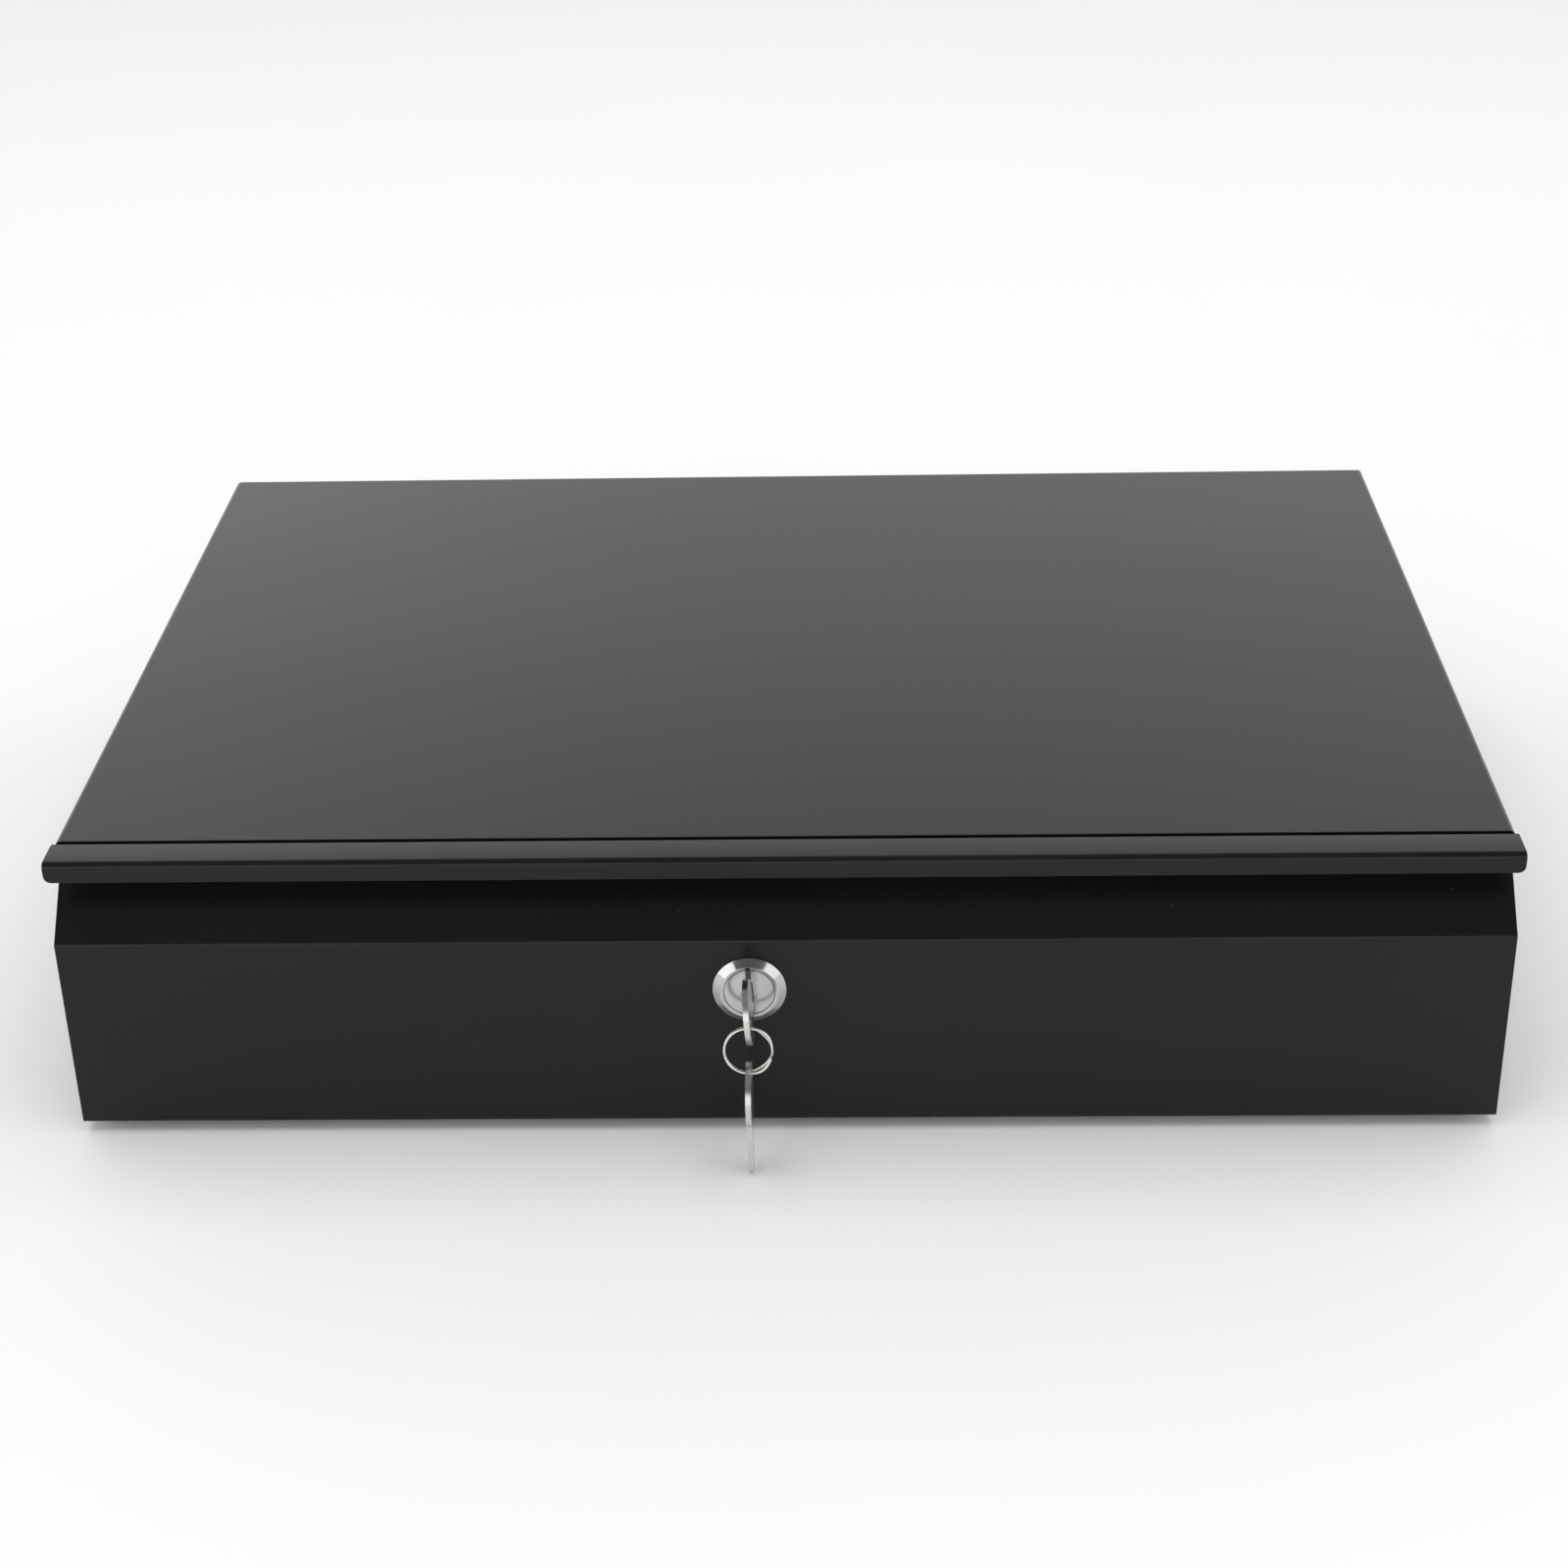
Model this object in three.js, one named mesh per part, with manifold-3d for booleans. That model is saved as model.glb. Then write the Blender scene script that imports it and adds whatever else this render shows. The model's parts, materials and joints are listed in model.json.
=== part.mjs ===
// A key-locked cash drawer for a counter: a folded steel housing, a drawer on telescopic ball
// slides, a till tray with coin cups and note bays, and a cam lock with its key and a spare.
// Millimetres. +Z is up and the front faces -Y. The origin is under the middle, on the counter.
import * as THREE from 'three';
import { mergeVertices } from 'three/addons/utils/BufferGeometryUtils.js';
import Module from 'manifold-3d';

// Overall sizes
const WIDTH = 460;
const DEPTH = 317.6;
const BODY_HEIGHT = 96.4;
const FOOT_HEIGHT = 4;

// Sheet metal
const SHEET = 1;
const FRONT_SHEET = 1.2;
const BEND = 1.6;
const SEAT_GAP = 0.1;
const FIT_GAP = 0.3;
const OVERRUN = 1;
const WELD = 1e-4;

// Drawer front, its finger recess and its pull lip
const RECESS_DROP = 28.2;
const RECESS_DEPTH = 14.8;
const FRONT_RETURN = 12;
const LIP_SETBACK = 2.5;
const LIP_DEPTH = 13.6;
const LIP_HEIGHT = 6.9;
const LIP_FLANGE_GAP = 2.5;
const LIP_WALL = 1.5;
const LIP_EDGE = 1.2;
const LIP_CORNER = 2.3;
const LIP_OVERHANG = 0.8;
const SEAM_GAP = 1;

// Housing
const COVER_FLANGE = 12;
const BASE_UPSTAND = 14;
const BASE_LIP = 2.5;
const REAR_FLANGE = 10;
const TIE_DROP = 13;
const TIE_REACH = 12;
const STRIKE_WIDTH = 30;
const STRIKE_SHEET = 1.5;
const STRIKE_GRIP = 14;
const STRIKE_CORNER = 3;

// Feet, screws and bumpers
const FOOT_RADIUS = 9;
const FOOT_INSET_X = 38;
const FOOT_INSET_Y = 30;
const FOOT_BORE = 2.2;
const FOOT_COUNTERBORE = 4.4;
const FOOT_SHOULDER = 2.4;
const FOOT_CHAMFER = 1;
const SCREW_RADIUS = 1.6;
const SCREW_HEAD_RADIUS = 3.4;
const SCREW_HEAD = 1.4;
const SCREW_SLOT = 0.9;
const SCREW_CLEARANCE = 0.3;
const SCREW_TAIL = 1.8;
const COVER_SCREW_FRONT = 70;
const COVER_SCREW_REAR = 68;
const BUMPER_RADIUS = 6;
const BUMPER_TAPER = 2;
const BUMPER_NOSE = 3;
const BUMPER_SPACING = 300;
const BUMPER_HEIGHT = 34;

// Telescopic slides
const SLIDE_THICKNESS = 12.7;
const SLIDE_HEIGHT = 35;
const SLIDE_SHEET = 1.2;
const SLIDE_FRONT = 24;
const SLIDE_END_GAP = 17;
const SLIDE_CENTRE = 35;
const BALL_GAP = 2.4;
const CAGE_SHEET = 0.7;
const OUTER_CAGE_GAP = 0.5;
const INNER_CAGE_GAP = 0.4;
const MIDDLE_TIP_GAP = 0.5;
const OUTER_TIP_SETBACK = 1.5;
const OUTER_CAGE_SETBACK = 3;
const INNER_CAGE_SETBACK = 1;
const CAGE_LENGTH = 100;
const OUTER_CAGE_START = 130;
const INNER_CAGE_START = 110;

// Drawer pan
const PAN_LIFT = 3.6;
const PAN_DROP = 7.5;
const PAN_REAR_GAP = 11.6;
const PAN_REAR_DROP = 7;
const PAN_FRONT_FLANGE = 16;
const GUARD_BACK = 31;
const GUARD_DROP = 2;

// Till tray
const TRAY_WALL = 2;
const TRAY_DROP = 7.9;
const TRAY_CORNER = 3;
const TRAY_GAP = 1.2;
const COIN_BAY = 86;
const BAYS = 5;
const DIVIDER = 1.6;
const DIVIDER_DROP = 2.9;
const DIVIDER_CHAMFER = 12;
const CUP_WALL = 1.6;
const CUP_DROP = 2.9;
const CUP_GAP = 0.5;
const CUP_CORNER = 22;

// Note clips on their rod
const ROD_RADIUS = 2;
const ROD_SETBACK = 13;
const ROD_RISE = 27;
const ROD_SOCKET = 1.2;
const ROD_PLAY = 0.08;
const CLIP_BARREL = 4.2;
const CLIP_REACH = 52;
const CLIP_DROP = 23.4;
const CLIP_WIDTH = 26;
const CLIP_SHEET = 1.5;
const CLIP_CURL = 6;

// Cam lock
const LOCK_X = -10.2;
const LOCK_DROP = 17.6;
const BEZEL_SEAT = 2.3;
const BEZEL_RIM = 9.25;
const BEZEL_PROUD = 2.3;
const BEZEL_EDGE = 0.5;
const PLUG_FACE_RADIUS = 8;
const PLUG_RADIUS = 6.1;
const PLUG_FACE_DEPTH = 3;
const KEYWAY_DIMPLE_RADIUS = 2.8;
const KEYWAY_DIMPLE = 0.5;
const LOCK_PLAY = 0.2;
const BARREL_RADIUS = 9.4;
const BARREL_LENGTH = 19.8;
const NUT_WALL = 2.6;
const NUT_THICKNESS = 4;
const WASHER = 1;
const WASHER_WALL = 3.2;
const CAM_SHEET = 1.6;
const CAM_LENGTH = 29;
const CAM_WIDTH = 13;
const CAM_SQUARE = 7;
const CAM_HUB = 1;
const CAM_CORNER = 2;
const CAM_SCREW_BORDER = 1.5;
const CAM_SCREW_SLOT = 0.6;
const CAM_SCREW_SHANK = 4;
const CAM_SCREW_END = 0.8;
const KEYWAY_LEAN = THREE.MathUtils.degToRad(-4);

// Key, split ring and spare key
const KEY_SHEET = 1.8;
const BOW_RADIUS = 10.5;
const BOW_REACH = 21.8;
const BLADE_LENGTH = 17.6;
const BLADE_HEIGHT = 7;
const KEY_HOLE_RADIUS = 2.9;
const KEY_HOLE_INSET = 4.2;
const KEY_SHOULDER = 1.6;
const KEY_CUTS = [1.4, 0.7, 1.7, 1.1];
const KEY_CUT_FLAT = 0.8;
const KEY_CUT_SPAN = 2 / 3;
const KEY_TIP_CHAMFER = 2;
const KEY_TIP_RISE = 3;
const KEY_TIP_RUN = 1;
const KEYWAY_END = 1;
const KEY_PLAY = 0.3;
const RING_RADIUS = 7.5;
const RING_WALL = 0.9;
const RING_THICKNESS = 1.6;
const RING_HANG = 1.8;
const RING_LEAN = THREE.MathUtils.degToRad(9.8);

// Facets on round work
const FINE = 48;
const ROUND = 24;
const COARSE = 12;
const BEND_STEPS = 3;
const SCOOP_STEPS = 6;
const HEXAGON = 6;

// Levels and planes that follow from the sizes
const halfWidth = WIDTH / 2;
const bottom = FOOT_HEIGHT;
const top = bottom + BODY_HEIGHT;
const innerHalf = halfWidth - SHEET;
const fitHalf = innerHalf - BEND + SHEET;
const lipRear = LIP_SETBACK + LIP_DEPTH;
const coverFront = lipRear + SEAM_GAP;
const baseFloor = bottom + SHEET + SEAT_GAP;
const basePanTop = baseFloor + SHEET;
const recessBreak = top - RECESS_DROP;
const panHalf = innerHalf - SLIDE_THICKNESS - FIT_GAP;
const panBottom = basePanTop + PAN_LIFT;
const panFloor = panBottom + SHEET;
const panTop = recessBreak - PAN_DROP;
const panBack = DEPTH - PAN_REAR_GAP;
const trayHalf = panHalf - SHEET - TRAY_GAP;
const trayFront = GUARD_BACK + TRAY_GAP;
const trayBack = panBack - SHEET - TRAY_GAP;
const trayBottom = panFloor + SEAT_GAP;
const trayFloor = trayBottom + TRAY_WALL;
const trayTop = panTop - TRAY_DROP;
const ribFront = trayFront + TRAY_WALL + COIN_BAY;
const bayWidth = (2 * (trayHalf - TRAY_WALL)) / BAYS;
const rodY = trayBack - ROD_SETBACK;
const rodZ = trayFloor + ROD_RISE;
const lockZ = recessBreak - LOCK_DROP;
const barrelBack = BARREL_LENGTH;
const camFront = barrelBack + 2 * LOCK_PLAY;
const camBack = camFront + CAM_SHEET;
const camScrewFront = camBack + SEAT_GAP - CAM_SCREW_SHANK;
const plugFace = LOCK_PLAY - BEZEL_PROUD;
const keyShoulder = plugFace - KEY_PLAY;
const ringTop = {
  y: keyShoulder - BOW_REACH + KEY_HOLE_INSET,
  z: lockZ - RING_HANG,
};
const ringBottom = {
  y: ringTop.y - 2 * RING_RADIUS * Math.sin(RING_LEAN),
  z: ringTop.z - 2 * RING_RADIUS * Math.cos(RING_LEAN),
};

const FINISHES = {
  blackSteel: { color: 0x1b1b1c, roughness: 0.38, metalness: 0.2 },
  lipSteel: { color: 0x1f1f20, roughness: 0.33, metalness: 0.2 },
  zinc: { color: 0xb4b6b8, roughness: 0.4, metalness: 0.9 },
  chrome: { color: 0xd9dadc, roughness: 0.12, metalness: 1 },
  nickel: { color: 0xc6c5c0, roughness: 0.25, metalness: 1 },
  brass: { color: 0xb59a57, roughness: 0.35, metalness: 1 },
  blackPlastic: { color: 0x222224, roughness: 0.55, metalness: 0 },
  rubber: { color: 0x141414, roughness: 0.85, metalness: 0 },
};

const wasm = await Module();
wasm.setup();

const assembly = new THREE.Group();

function add(name, finish, solid) {
  const mesh = new THREE.Mesh(geometryOf(solid), new THREE.MeshStandardMaterial(FINISHES[finish]));
  mesh.name = name;
  assembly.add(mesh);
}

// Turns a closed geometry into a solid with its faces pointing out.
function solidOf(geometry) {
  const bare = geometry.clone();
  bare.deleteAttribute('normal');
  bare.deleteAttribute('uv');
  const merged = mergeVertices(bare, WELD);
  const points = merged.attributes.position.array;
  const triangles = [];
  for (let i = 0; i < merged.index.count; i += 3) {
    const [a, b, c] = merged.index.array.slice(i, i + 3);
    if (a !== b && b !== c && c !== a) triangles.push([a, b, c]);
  }
  if (signedVolume(points, triangles) < 0) triangles.forEach((triangle) => triangle.reverse());
  return new wasm.Manifold(new wasm.Mesh({
    numProp: 3,
    vertProperties: new Float32Array(points),
    triVerts: new Uint32Array(triangles.flat()),
  }));
}

function signedVolume(points, triangles) {
  const corner = (i) => new THREE.Vector3().fromArray(points, 3 * i);
  return triangles.reduce((sum, [a, b, c]) => sum + corner(a).dot(corner(b).cross(corner(c))), 0);
}

function geometryOf(solid) {
  const mesh = solid.getMesh();
  const geometry = new THREE.BufferGeometry();
  geometry.setAttribute('position', new THREE.BufferAttribute(mesh.vertProperties, 3));
  geometry.setIndex(new THREE.BufferAttribute(mesh.triVerts, 1));
  geometry.computeVertexNormals();
  return geometry;
}

function union(...solids) {
  return solids.reduce((whole, piece) => whole.add(piece));
}

function box(x0, x1, y0, y1, z0, z1) {
  const geometry = new THREE.BoxGeometry(x1 - x0, y1 - y0, z1 - z0);
  geometry.translate((x0 + x1) / 2, (y0 + y1) / 2, (z0 + z1) / 2);
  return solidOf(geometry);
}

function extruded(outline, length, matrix) {
  const shape = new THREE.Shape(outline.map(([u, v]) => new THREE.Vector2(u, v)));
  const geometry = new THREE.ExtrudeGeometry(shape, { depth: length, bevelEnabled: false });
  geometry.applyMatrix4(matrix);
  return solidOf(geometry);
}

// An outline in Y and Z, drawn along X.
function prismX(outline, x0, x1) {
  const axes = new THREE.Matrix4().makeBasis(
    new THREE.Vector3(0, 1, 0),
    new THREE.Vector3(0, 0, 1),
    new THREE.Vector3(1, 0, 0),
  );
  return extruded(outline, x1 - x0, axes.setPosition(x0, 0, 0));
}

// An outline in X and Z, drawn along Y.
function prismY(outline, y0, y1) {
  const axes = new THREE.Matrix4().makeBasis(
    new THREE.Vector3(1, 0, 0),
    new THREE.Vector3(0, 0, 1),
    new THREE.Vector3(0, -1, 0),
  );
  return extruded(outline, y1 - y0, axes.setPosition(0, y1, 0));
}

function circle(u, v, radius, steps) {
  return Array.from({ length: steps }, (_, i) => {
    const angle = (2 * Math.PI * i) / steps;
    return [u + radius * Math.cos(angle), v + radius * Math.sin(angle)];
  });
}

// A ring-shaped profile of [radius, height] points, turned about Z or about Y.
function turned(profile, steps, axis) {
  const points = [...profile, profile[0]].map(([r, h]) => new THREE.Vector2(r, h));
  const geometry = new THREE.LatheGeometry(points, steps);
  if (axis === 'z') geometry.rotateX(Math.PI / 2);
  return solidOf(geometry);
}

function cylinderY(x, z, radius, y0, y1, steps = ROUND) {
  return prismY(circle(x, z, radius, steps), y0, y1);
}

function cylinderZ(x, y, radius, z0, z1, steps = COARSE) {
  const shape = new THREE.Matrix4().setPosition(0, 0, z0);
  return extruded(circle(x, y, radius, steps), z1 - z0, shape);
}

function cylinderX(y, z, radius, x0, x1, steps = ROUND) {
  return prismX(circle(y, z, radius, steps), x0, x1);
}

// Rounds the inner corners of an open path.
function filleted(path, radius) {
  const points = path.map(([u, v]) => new THREE.Vector2(u, v));
  const result = [points[0]];
  for (let i = 1; i < points.length - 1; i += 1) {
    const back = points[i - 1].clone().sub(points[i]).normalize();
    const ahead = points[i + 1].clone().sub(points[i]).normalize();
    const half = Math.acos(back.dot(ahead)) / 2;
    const centre = back.clone().add(ahead).setLength(radius / Math.sin(half)).add(points[i]);
    const from = back.multiplyScalar(radius / Math.tan(half)).add(points[i]).sub(centre);
    const to = ahead.multiplyScalar(radius / Math.tan(half)).add(points[i]).sub(centre);
    const turn = Math.atan2(from.cross(to), from.dot(to));
    for (let step = 0; step <= BEND_STEPS; step += 1) {
      const spoke = from.clone().rotateAround(new THREE.Vector2(), (turn * step) / BEND_STEPS);
      result.push(spoke.add(centre));
    }
  }
  result.push(points.at(-1));
  return result;
}

// The outline of a folded sheet: the path is one face, and the sheet lies to its right.
function folded(path, thickness, radius = BEND) {
  const face = filleted(path, radius);
  const inner = face.map((point, i) => {
    const before = face[Math.max(i - 1, 0)];
    const after = face[Math.min(i + 1, face.length - 1)];
    const into = point.clone().sub(before).normalize();
    const away = after.clone().sub(point).normalize();
    const first = i === 0 ? away : into;
    const second = i === face.length - 1 ? into : away;
    const side = new THREE.Vector2(first.y + second.y, -first.x - second.x).normalize();
    const spread = side.dot(new THREE.Vector2(first.y, -first.x));
    return side.multiplyScalar(thickness / spread).add(point);
  });
  return [...face, ...inner.reverse()].map((point) => [point.x, point.y]);
}

function roundedRectangle(u0, u1, v0, v1, radius) {
  const centres = [
    [u1 - radius, v1 - radius],
    [u0 + radius, v1 - radius],
    [u0 + radius, v0 + radius],
    [u1 - radius, v0 + radius],
  ];
  return centres.flatMap(([u, v], quarter) =>
    Array.from({ length: BEND_STEPS + 2 }, (_, i) => {
      const angle = (Math.PI / 2) * (quarter + i / (BEND_STEPS + 1));
      return [u + radius * Math.cos(angle), v + radius * Math.sin(angle)];
    }));
}

// The cover is one sheet: top, two sides and two flanges turned in under the base.
const coverScrews = [-1, 1].flatMap((side) =>
  [COVER_SCREW_FRONT, DEPTH - COVER_SCREW_REAR].map((y) =>
    ({ x: side * (halfWidth - COVER_FLANGE / 2 - SHEET), y })));

function screwHoles(places, radius, z0, z1) {
  return union(...places.map(({ x, y }) => cylinderZ(x, y, radius, z0, z1)));
}

function topCover() {
  const path = [
    [-halfWidth + COVER_FLANGE, bottom],
    [-halfWidth, bottom],
    [-halfWidth, top],
    [halfWidth, top],
    [halfWidth, bottom],
    [halfWidth - COVER_FLANGE, bottom],
  ];
  const holes = screwHoles(coverScrews, SCREW_RADIUS + SCREW_CLEARANCE, 0, baseFloor);
  return prismY(folded(path, SHEET), coverFront, DEPTH).subtract(holes);
}

const footPlaces = [-1, 1].flatMap((side) =>
  [coverFront + FOOT_INSET_Y, DEPTH - FOOT_INSET_Y].map((y) =>
    ({ x: side * (halfWidth - FOOT_INSET_X), y })));

function basePan() {
  const front = coverFront + FIT_GAP;
  const back = DEPTH - SHEET - SEAT_GAP;
  const path = [
    [back, baseFloor + BASE_UPSTAND],
    [back, baseFloor],
    [front, baseFloor],
    [front, baseFloor + SHEET + BASE_LIP],
  ];
  const holes = screwHoles([...coverScrews, ...footPlaces], SCREW_RADIUS + SCREW_CLEARANCE, 0, panBottom);
  return prismX(folded(path, SHEET), -fitHalf, fitHalf).subtract(holes);
}

function rearPanel() {
  const ceiling = top - SHEET - SEAT_GAP;
  const path = [
    [DEPTH - REAR_FLANGE, ceiling],
    [DEPTH, ceiling],
    [DEPTH, baseFloor],
  ];
  return prismX(folded(path, SHEET), -fitHalf, fitHalf);
}

// A stiffener under the cover's front edge, which also carries the strike plate.
const tieFront = coverFront + FIT_GAP;

function frontTieBar() {
  const ceiling = top - SHEET - SEAT_GAP;
  const path = [
    [tieFront, ceiling - TIE_DROP],
    [tieFront, ceiling],
    [tieFront + TIE_REACH, ceiling],
  ];
  return prismX(folded(path, SHEET), -fitHalf, fitHalf);
}

function strikePlate() {
  const front = tieFront + SHEET + SEAT_GAP;
  const low = lockZ + CAM_LENGTH - STRIKE_GRIP;
  const high = top - 2 * SHEET - 2 * SEAT_GAP - BEND;
  const left = LOCK_X - STRIKE_WIDTH / 2;
  const face = roundedRectangle(left, left + STRIKE_WIDTH, low, high, STRIKE_CORNER);
  return prismY(face, front, front + STRIKE_SHEET);
}

function foot() {
  const high = baseFloor - SEAT_GAP;
  return turned([
    [FOOT_BORE, high],
    [FOOT_BORE, FOOT_SHOULDER],
    [FOOT_COUNTERBORE, FOOT_SHOULDER],
    [FOOT_COUNTERBORE, 0],
    [FOOT_RADIUS - FOOT_CHAMFER, 0],
    [FOOT_RADIUS, FOOT_CHAMFER],
    [FOOT_RADIUS, high],
  ], ROUND, 'z');
}

// A slotted pan-head screw standing on its head, with the head's upper face at height 0.
function screw(shank) {
  const body = union(
    cylinderZ(0, 0, SCREW_HEAD_RADIUS, -SCREW_HEAD, 0),
    cylinderZ(0, 0, SCREW_RADIUS, -SCREW_HEAD, shank),
  );
  const slotEnd = -SCREW_HEAD + SCREW_SLOT / 2;
  const half = SCREW_SLOT / 2;
  const reach = SCREW_HEAD_RADIUS + OVERRUN;
  return body.subtract(box(-reach, reach, -half, half, -SCREW_HEAD - OVERRUN, slotEnd));
}

function addFeetAndScrews() {
  const footSeat = FOOT_SHOULDER - SEAT_GAP;
  const flangeSeat = bottom - SEAT_GAP;
  footPlaces.forEach(({ x, y }, i) => {
    add(`foot_${i + 1}`, 'rubber', foot().translate([x, y, 0]));
    const shank = basePanTop + SCREW_TAIL - footSeat;
    add(`foot_screw_${i + 1}`, 'zinc', screw(shank).translate([x, y, footSeat]));
  });
  coverScrews.forEach(({ x, y }, i) => {
    const shank = basePanTop + SCREW_TAIL - flangeSeat;
    add(`cover_screw_${i + 1}`, 'zinc', screw(shank).translate([x, y, flangeSeat]));
  });
}

function addBumpers() {
  const back = DEPTH - SHEET - SEAT_GAP;
  [['L', -1], ['R', 1]].forEach(([label, side]) => {
    const profile = [
      [0, panBack + FIT_GAP],
      [BUMPER_RADIUS - BUMPER_TAPER, panBack + FIT_GAP],
      [BUMPER_RADIUS, panBack + FIT_GAP + BUMPER_NOSE],
      [BUMPER_RADIUS, back],
      [0, back],
    ];
    const bumper = turned(profile, ROUND, 'y').translate([(side * BUMPER_SPACING) / 2, 0, BUMPER_HEIGHT]);
    add(`rear_bumper_${label}`, 'rubber', bumper);
  });
}

// One slide member or ball cage: a channel whose web stands between two depths from the wall.
// It opens towards the drawer, or towards the wall when its web is the deeper end.
function channel(side, web, tip, halfHeight, sheet, y0, y1) {
  const across = (depth) => side * (innerHalf - depth);
  const outline = [
    [across(tip), SLIDE_CENTRE + halfHeight],
    [across(web), SLIDE_CENTRE + halfHeight],
    [across(web), SLIDE_CENTRE - halfHeight],
    [across(tip), SLIDE_CENTRE - halfHeight],
  ];
  const opensRight = side * (tip - web) < 0;
  return prismY(folded(opensRight ? outline.reverse() : outline, sheet, sheet), y0, y1);
}

function addSlides() {
  const slideBack = DEPTH - SLIDE_END_GAP;
  const outerHalf = SLIDE_HEIGHT / 2;
  const middleHalf = outerHalf - SLIDE_SHEET - BALL_GAP;
  const insideHalf = middleHalf - SLIDE_SHEET - BALL_GAP;
  const outerCageHalf = middleHalf + (BALL_GAP + CAGE_SHEET) / 2;
  const innerCageHalf = insideHalf + (BALL_GAP + CAGE_SHEET) / 2;
  const outerWeb = SEAT_GAP;
  const outerCageWeb = outerWeb + SLIDE_SHEET + OUTER_CAGE_GAP;
  const middleWeb = outerCageWeb + CAGE_SHEET + OUTER_CAGE_GAP;
  const innerCageWeb = middleWeb + SLIDE_SHEET + INNER_CAGE_GAP;
  const innerTip = innerCageWeb + CAGE_SHEET + INNER_CAGE_GAP;
  const innerWeb = SLIDE_THICKNESS;
  const middleTip = innerWeb - SLIDE_SHEET - MIDDLE_TIP_GAP;
  const outerTip = middleTip - OUTER_TIP_SETBACK;
  const outerCageTip = middleTip - OUTER_CAGE_SETBACK;
  const innerCageTip = middleTip - INNER_CAGE_SETBACK;
  [['L', -1], ['R', 1]].forEach(([label, side]) => {
    const member = (name, finish, web, tip, half, sheet, y0, y1) =>
      add(`${name}_${label}`, finish, channel(side, web, tip, half, sheet, y0, y1));
    member('slide_outer', 'zinc', outerWeb, outerTip, outerHalf, SLIDE_SHEET, SLIDE_FRONT, slideBack);
    member('slide_middle', 'zinc', middleWeb, middleTip, middleHalf, SLIDE_SHEET, SLIDE_FRONT, slideBack);
    member('slide_inner', 'zinc', innerWeb, innerTip, insideHalf, SLIDE_SHEET, SLIDE_FRONT, slideBack);
    member('outer_ball_cage', 'brass', outerCageWeb, outerCageTip, outerCageHalf, CAGE_SHEET,
      OUTER_CAGE_START, OUTER_CAGE_START + CAGE_LENGTH);
    member('inner_ball_cage', 'brass', innerCageWeb, innerCageTip, innerCageHalf, CAGE_SHEET,
      INNER_CAGE_START, INNER_CAGE_START + CAGE_LENGTH);
  });
}

// The drawer front is one folded sheet, closed at both ends by plates of its own outline.
function drawerFront() {
  const recessBack = recessBreak + RECESS_DEPTH;
  const ceiling = top - LIP_WALL - SEAT_GAP;
  const flangeFront = LIP_SETBACK + LIP_WALL + LIP_FLANGE_GAP;
  const path = [
    [FRONT_RETURN, bottom],
    [0, bottom],
    [0, recessBreak],
    [RECESS_DEPTH, recessBack],
    [RECESS_DEPTH, ceiling - FRONT_SHEET],
    [flangeFront, ceiling - FRONT_SHEET],
  ];
  const reach = RECESS_DEPTH + FRONT_SHEET;
  const endFace = [
    [reach, bottom + BEND],
    [BEND, bottom + BEND],
    [FRONT_SHEET / 2, recessBreak],
    [RECESS_DEPTH + FRONT_SHEET / 2, recessBack],
    [RECESS_DEPTH + FRONT_SHEET / 2, ceiling - BEND],
    [reach, ceiling - BEND],
  ];
  const ends = union(
    prismX(endFace, -halfWidth, -halfWidth + FRONT_SHEET),
    prismX(endFace, halfWidth - FRONT_SHEET, halfWidth),
  );
  const hole = cylinderY(LOCK_X, lockZ, BARREL_RADIUS + LOCK_PLAY, -OVERRUN, 2 * FRONT_SHEET, FINE);
  return prismX(folded(path, FRONT_SHEET), -halfWidth, halfWidth)
    .add(ends)
    .subtract(hole);
}

// The pull lip: a flat strip flush with the cover and a short skirt in front for the fingers.
function frontLip() {
  const below = top - LIP_HEIGHT;
  const path = [
    [LIP_SETBACK, below],
    [LIP_SETBACK, top],
    [lipRear, top],
  ];
  const halfLip = halfWidth + LIP_OVERHANG;
  const strip = prismX(folded(path, LIP_WALL, LIP_EDGE + LIP_WALL / 2), -halfLip, halfLip);
  const corners = roundedRectangle(-halfLip, halfLip, below, top + LIP_CORNER, LIP_CORNER);
  const edges = roundedRectangle(-lipRear, lipRear, below - LIP_DEPTH, top, LIP_WALL / 2);
  return strip
    .intersect(prismY(corners, -OVERRUN, lipRear + OVERRUN))
    .intersect(prismX(edges, -halfLip - OVERRUN, halfLip + OVERRUN));
}

function drawerPan() {
  const front = FRONT_SHEET + SEAT_GAP;
  const trough = [
    [-panHalf, panTop],
    [-panHalf, panBottom],
    [panHalf, panBottom],
    [panHalf, panTop],
  ];
  const walls = prismY(folded(trough.reverse(), SHEET), front, panBack);
  const end = (high) => roundedRectangle(-panHalf, panHalf, panBottom, high, BEND);
  const rear = prismY(end(panTop - PAN_REAR_DROP), panBack - SHEET, panBack);
  const flange = prismY(end(panBottom + PAN_FRONT_FLANGE), front, front + SHEET);
  return union(walls, rear, flange);
}

// A folded guard between the lock and the till.
function lockGuard() {
  const path = [
    [GUARD_BACK - REAR_FLANGE, panFloor + SHEET + SEAT_GAP],
    [GUARD_BACK - SHEET, panFloor + SHEET + SEAT_GAP],
    [GUARD_BACK - SHEET, panTop - GUARD_DROP],
  ];
  const within = panHalf - BEND;
  return prismX(folded(path, SHEET, FIT_GAP), -within, within);
}

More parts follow.
